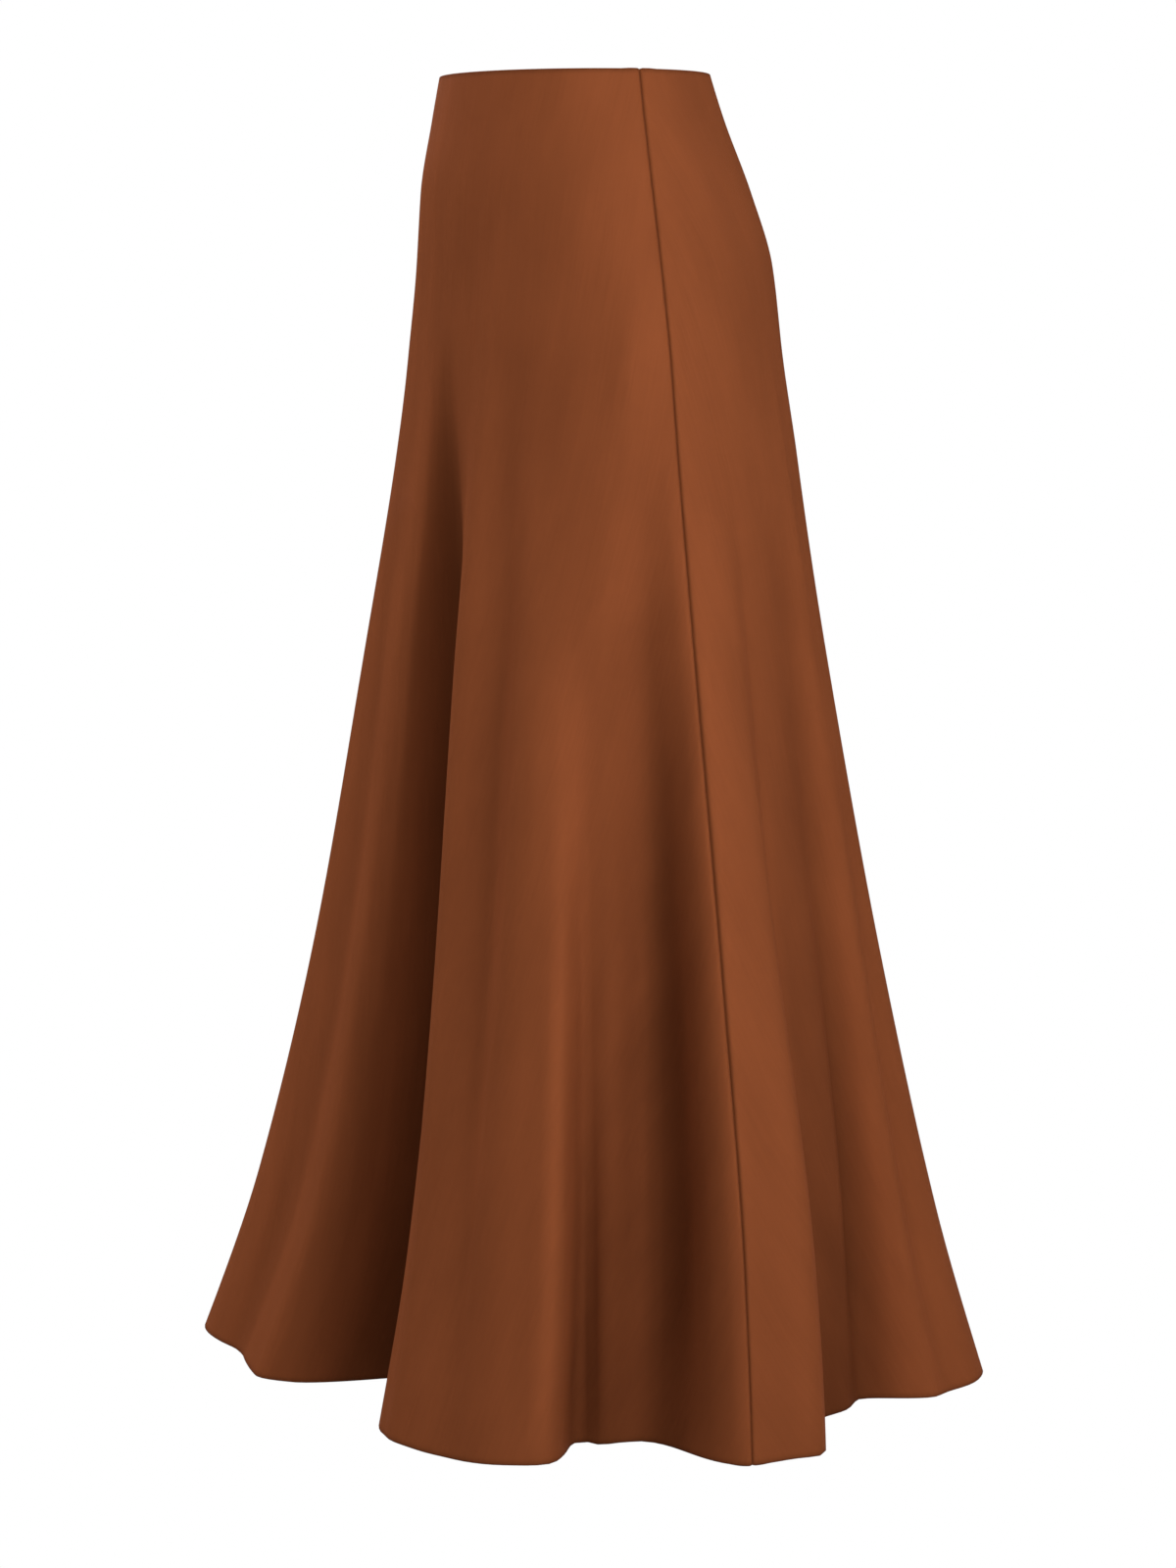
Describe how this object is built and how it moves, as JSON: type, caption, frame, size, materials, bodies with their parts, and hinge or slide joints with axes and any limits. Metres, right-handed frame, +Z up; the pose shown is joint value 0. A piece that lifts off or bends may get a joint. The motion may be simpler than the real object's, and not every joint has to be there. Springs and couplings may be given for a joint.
{
  "type": "a-line midi skirt",
  "caption": "Heavy satin a-line midi skirt, filled out as worn, with a plain waist edge, side seams, a concealed side zip and a hem that falls in deep flutes.",
  "frame": {"origin": "centre of the waist line, 10 mm below the top edge, where the wearer's waist holds the skirt", "axes": "+Z up along the wearer, the front faces -Y, +X is the wearer's left"},
  "size_m": [0.612, 0.4985, 0.9006],
  "materials": {
    "satin": "heavy crepe-backed satin, soft sheen, burnt brown",
    "zip_tape": "matt woven tape",
    "zip_enamel": "enamel dyed to match the cloth"
  },
  "bodies": {
    "skirt": {"front_panel": "satin", "back_panel": "satin", "zip_tape_front": "zip_tape", "zip_tape_back": "zip_tape", "zip_slider": "zip_enamel"},
    "pull": {"zip_pull": "zip_enamel"}
  },
  "joints": [
    {"name": "pull_swing", "type": "hinge", "parent": "skirt", "child": "pull", "pos_m": [-0.11984, 0, 0.00033], "axis": [0, 1, 0], "range_deg": [0, 160]}
  ]
}
